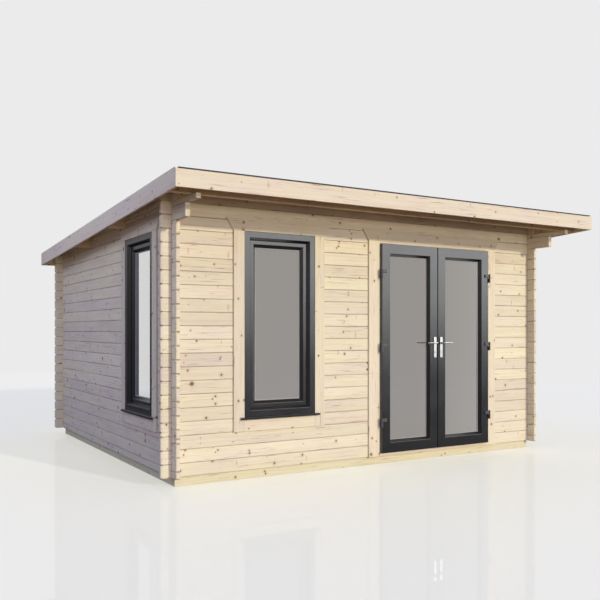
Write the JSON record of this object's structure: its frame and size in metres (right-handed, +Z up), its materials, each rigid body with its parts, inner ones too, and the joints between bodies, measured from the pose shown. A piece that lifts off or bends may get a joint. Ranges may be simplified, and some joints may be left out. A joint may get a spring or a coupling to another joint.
{
  "type": "pent roof log cabin",
  "caption": "Log cabin with a single-pitch roof falling to the back, walls of corner-lapped logs, tall framed windows and glazed double doors with lever handles, on a timber base.",
  "frame": {"origin": "on the ground under the middle of the roof's rectangle", "axes": "+X to the right along the front wall, +Y to the back, +Z up"},
  "size_m": [4.682, 4.45, 2.499],
  "materials": {
    "log_pine": "planed softwood logs, satin, with small knots",
    "trim_pine": "planed softwood boards",
    "roof_pine": "planed softwood boards and purlins",
    "treated_base": "pressure-treated softwood, green tinge",
    "floor_pine": "planed softwood floor boards",
    "roof_felt": "mineral roofing felt",
    "anthracite_profile": "foiled anthracite profile, satin",
    "window_glass": "clear double glazing",
    "hinge_metal": "dark powder coat",
    "handle_steel": "bright brushed steel"
  },
  "bodies": {
    "root": {"base_bearers": "treated_base", "floor_joists": "treated_base", "floor_boards": "floor_pine", "front_wall_lower_logs": "log_pine", "front_wall_left_logs": "log_pine", "front_wall_middle_logs": "log_pine", "front_wall_right_logs": "log_pine", "front_wall_top_logs": "log_pine", "left_wall_lower_logs": "log_pine", "left_wall_front_logs": "log_pine", "left_wall_rear_logs": "log_pine", "left_wall_top_logs": "log_pine", "right_wall_logs": "log_pine", "rear_wall_logs": "log_pine", "roof_purlins": "roof_pine", "roof_boards": "roof_pine", "roof_covering": "roof_felt", "front_fascia": "trim_pine", "rear_fascia": "trim_pine", "left_barge_board": "trim_pine", "right_barge_board": "trim_pine", "front_window_frame": "anthracite_profile", "front_window_sash": "anthracite_profile", "front_window_glass": "window_glass", "front_window_sill": "anthracite_profile", "front_window_trim": "trim_pine", "left_window_frame": "anthracite_profile", "left_window_sash": "anthracite_profile", "left_window_glass": "window_glass", "left_window_sill": "anthracite_profile", "left_window_trim": "trim_pine", "door_frame": "trim_pine", "door_threshold": "trim_pine", "door_trim": "trim_pine", "door_frame_knuckles": "hinge_metal"},
    "left_leaf": {"left_door_leaf": "anthracite_profile", "left_door_glass": "window_glass", "left_door_hinge_flags": "hinge_metal", "left_door_handle_plates": "handle_steel"},
    "right_leaf": {"right_door_leaf": "anthracite_profile", "right_door_glass": "window_glass", "right_door_hinge_flags": "hinge_metal", "right_door_handle_plates": "handle_steel"},
    "left_handle": {"left_door_levers": "handle_steel"},
    "right_handle": {"right_door_levers": "handle_steel"}
  },
  "joints": [
    {"name": "left_door_hinge", "type": "hinge", "parent": "root", "child": "left_leaf", "pos_m": [0.012, -1.663, 1.126], "axis": [0, 0, -1], "range_deg": [0, 100]},
    {"name": "right_door_hinge", "type": "hinge", "parent": "root", "child": "right_leaf", "pos_m": [1.44, -1.663, 1.126], "axis": [0, 0, 1], "range_deg": [0, 100]},
    {"name": "left_handle_turn", "type": "hinge", "parent": "left_leaf", "child": "left_handle", "pos_m": [0.685, -1.653, 1.167], "axis": [0, -1, 0], "range_deg": [0, 40], "stiffness_Nm_per_rad": 3, "springref_deg": -17.19},
    {"name": "right_handle_turn", "type": "hinge", "parent": "right_leaf", "child": "right_handle", "pos_m": [0.767, -1.653, 1.167], "axis": [0, 1, 0], "range_deg": [0, 40], "stiffness_Nm_per_rad": 3, "springref_deg": -17.19}
  ]
}
